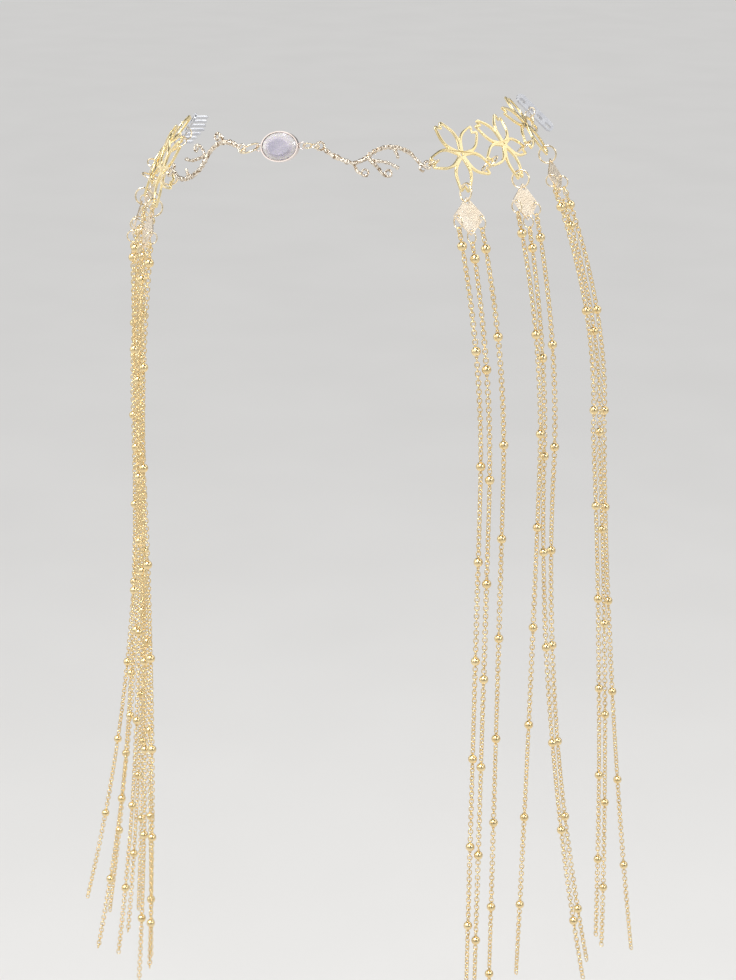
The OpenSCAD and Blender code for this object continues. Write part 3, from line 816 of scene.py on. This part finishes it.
def milky_stone():
    """A milky lilac stone with painted light: its facets are paler and pinker than the table in their
    middle.
    """
    material, nodes, links, shader, place = node_tree("milky_stone")
    cloud = noise_node(nodes, links, place, 260.0, 3.0, 0.5)
    table = mix_node(nodes, links, range_node(nodes, links, cloud.outputs["Fac"], 0, 1),
                     (0.50, 0.48, 0.58), (0.66, 0.62, 0.71))
    # Painted light: towards the rim the outer facets turn paler and pinker, standing in for the light they
    # catch.
    flat = nodes.new("ShaderNodeVectorMath")
    flat.operation = "MULTIPLY"
    flat.inputs[1].default_value = (1, 0, 1)
    links.new(place.outputs["Generated"], flat.inputs[0])
    away = nodes.new("ShaderNodeVectorMath")
    away.operation = "DISTANCE"
    away.inputs[1].default_value = (0.5, 0, 0.5)
    links.new(flat.outputs["Vector"], away.inputs[0])
    facets = range_node(nodes, links, away.outputs["Value"], 0, 1, 0.28, 0.42)
    links.new(mix_node(nodes, links, facets, table, (0.95, 0.88, 0.91)), shader.inputs["Base Color"])
    shader.inputs["Roughness"].default_value = 0.08
    shader.inputs["IOR"].default_value = 1.55
    shader.inputs["Transmission Weight"].default_value = 0.25
    shader.inputs["Subsurface Weight"].default_value = 0.6
    shader.inputs["Subsurface Radius"].default_value = (0.003, 0.0028, 0.0034)
    shader.inputs["Subsurface Scale"].default_value = 1.0
    shader.inputs["Coat Weight"].default_value = 0.6
    shader.inputs["Coat Roughness"].default_value = 0.03
    ripple = noise_node(nodes, links, place, 500.0, 2.0, 0.5)
    height = bump_node(nodes, links, ripple.outputs["Fac"], 0.04, 0.0002)
    links.new(height.outputs["Normal"], shader.inputs["Normal"])
    return material


def backdrop():
    material, nodes, links, shader, place = node_tree("pale_floor")
    soft = noise_node(nodes, links, place, 3.0, 2.0, 0.5)
    links.new(
        mix_node(nodes, links, range_node(nodes, links, soft.outputs["Fac"], 0, 1),
                 (0.74, 0.73, 0.715), (0.76, 0.75, 0.735)),
        shader.inputs["Base Color"],
    )
    shader.inputs["Roughness"].default_value = 0.9
    shader.inputs["Specular IOR Level"].default_value = 0.1
    return material


BRIGHT_GOLD = metal("bright_gold", (0.98, 0.83, 0.50), (0.94, 0.76, 0.39), 0.2, 2600.0, 0.15)
PALE_GOLD = metal("pale_gold", (0.98, 0.85, 0.62), (0.92, 0.77, 0.52), 0.17, 2600.0, 0.1)
CHAIN_GOLD = metal("chain_gold", (0.98, 0.80, 0.47), (0.90, 0.69, 0.36), 0.19, 2600.0, 0.1)
# The casting's recess colour is painted shade in the hollows of its grain.
CHAMPAGNE = metal("champagne_casting", (0.99, 0.92, 0.81), (0.95, 0.84, 0.69), 0.15, 1000.0, 1.0,
                  depth=0.0007, recess_shade=(0.36, 0.25, 0.15))
HAMMERED = metal("hammered_champagne", (0.99, 0.89, 0.75), (0.93, 0.79, 0.61), 0.26, 3000.0, 0.5,
                 depth=0.00015, dents=(1500.0, 0.25))
CHAMPAGNE_SMOOTH = metal("champagne_bezel", (0.87, 0.78, 0.74), (0.80, 0.70, 0.65), 0.22, 2600.0, 0.1)
STEEL = metal("clip_steel", (0.66, 0.67, 0.70), (0.52, 0.53, 0.57), 0.3, 3000.0, 0.15, stretch=(1, 1, 6))
STONE = milky_stone()


def give(obj, material):
    obj.data.materials.clear()
    obj.data.materials.append(material)


def give_node(name, material):
    """A kept CAD node takes a material in its own slots."""
    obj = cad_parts[name]
    for slot in obj.material_slots:
        slot.material = material
    if not obj.material_slots:
        obj.data.materials.append(material)


SOFT_EDGE = 0.12
SOFT_ANGLE = math.radians(35.0)


def soften(name):
    """Rounds the edges of a kept CAD node."""
    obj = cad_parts[name]
    edge = obj.modifiers.new("soft_edge", "BEVEL")
    edge.width = SOFT_EDGE * MM
    edge.segments = 2
    edge.limit_method = "ANGLE"
    edge.angle_limit = SOFT_ANGLE


give_node("stone", STONE)
give_node("stone_setting", CHAMPAGNE_SMOOTH)
soften("stone_setting")
give_node("stone_ring_right", PALE_GOLD)
give_node("stone_ring_left", PALE_GOLD)
for hand, side in SIDES.items():
    give(vine(hand), CHAMPAGNE)
    give_node(f"vine_ring_{side}", PALE_GOLD)
    give_node(f"clip_{side}", STEEL)
    soften(f"clip_{side}")
    give_node(f"clip_rings_{side}", PALE_GOLD)
    for i in range(3):
        give(flower(hand, i), BRIGHT_GOLD)
        give_node(f"plate_{side}_{i + 1}", HAMMERED)
        soften(f"plate_{side}_{i + 1}")
        give_node(f"plate_rings_{side}_{i + 1}", PALE_GOLD)
        if i < 2:
            give_node(f"link_ring_{side}_{i + 1}", PALE_GOLD)
        for corner in (-1, 0, 1):
            give(tassel(hand, i, corner), CHAIN_GOLD)


# Floor, lights and camera

# The chain hangs on its wearer, so the floor lies well below it
FLOOR_Z = -1.3
FLOOR_HALF = 60.0
corners = [(x * FLOOR_HALF, y * FLOOR_HALF, FLOOR_Z) for x, y in ((-1, -1), (1, -1), (1, 1), (-1, 1))]
floor_mesh = bpy.data.meshes.new("floor")
floor_mesh.from_pydata(corners, [], [(0, 1, 2, 3)])
floor = add_object("floor", floor_mesh)
give(floor, backdrop())

AIM = Vector((0.0, 0.0, -0.15))


def soft_light(name, place, size, power, colour=(1, 1, 1)):
    data = bpy.data.lights.new(name, "AREA")
    data.shape = "RECTANGLE"
    data.size, data.size_y = size
    data.energy = power
    data.color = colour
    obj = add_object(name, data)
    obj.location = place
    obj.rotation_mode = "QUATERNION"
    obj.rotation_quaternion = (AIM - Vector(place)).to_track_quat("-Z", "Y")


soft_light("key", (-0.55, -1.6, 0.75), (1.7, 1.1), 7.0, (1.0, 0.98, 0.95))
soft_light("fill", (1.6, -0.7, 0.6), (0.7, 1.3), 4.0, (0.97, 0.98, 1.0))
soft_light("left_window", (-1.5, -0.45, 0.4), (1.2, 1.2), 6.5, (1.0, 0.99, 0.96))
soft_light("rim", (0.2, 1.5, 1.2), (1.4, 0.6), 5.0)
soft_light("glint", (1.2, -0.85, 0.75), (0.45, 0.45), 3.0)
# These two stand where the flowers' faces mirror the room
soft_light("right_panel", (1.33, 0.93, 0.79), (2.2, 1.3), 9.0, (1.0, 0.99, 0.97))
soft_light("left_panel", (-1.4, 1.1, 0.35), (1.2, 1.0), 3.0, (1.0, 0.99, 0.96))

sun_data = bpy.data.lights.new("daylight", "SUN")
sun_data.energy = 2.3
sun_data.angle = math.radians(28.0)
sun = add_object("daylight", sun_data)
sun.rotation_euler = (math.radians(22.0), math.radians(-14.0), 0)

world = bpy.data.worlds.new("studio")
bpy.context.scene.world = world
world.use_nodes = True
surround = world.node_tree.nodes["Background"]
surround.inputs["Color"].default_value = (0.95, 0.97, 1.0, 1)
surround.inputs["Strength"].default_value = 0.2

CAMERA_PLACE = (0.212, -0.787, 0.1437)
CAMERA_AZIMUTH = math.radians(14.28)
CAMERA_PITCH = math.radians(20.35)
CAMERA_ROLL = math.radians(0.31)
camera_data = bpy.data.cameras.new("camera")
camera_data.sensor_width = 36.0
camera_data.lens = 73.47
camera_data.clip_start = 0.05
camera_data.clip_end = 120.0
camera = add_object("camera", camera_data)
ahead = Vector((
    -math.sin(CAMERA_AZIMUTH) * math.cos(CAMERA_PITCH), math.cos(CAMERA_AZIMUTH) * math.cos(CAMERA_PITCH),
    -math.sin(CAMERA_PITCH),
))
flat_right = Vector((math.cos(CAMERA_AZIMUTH), math.sin(CAMERA_AZIMUTH), 0))
flat_up = flat_right.cross(ahead)
right = flat_right * math.cos(CAMERA_ROLL) + flat_up * math.sin(CAMERA_ROLL)
above = flat_up * math.cos(CAMERA_ROLL) - flat_right * math.sin(CAMERA_ROLL)
turn = Matrix((right, above, -ahead)).transposed()
camera.matrix_world = Matrix.Translation(CAMERA_PLACE) @ turn.to_4x4()
bpy.context.scene.camera = camera
bpy.context.scene.view_settings.view_transform = "Standard"
bpy.context.scene.view_settings.exposure = 0.0
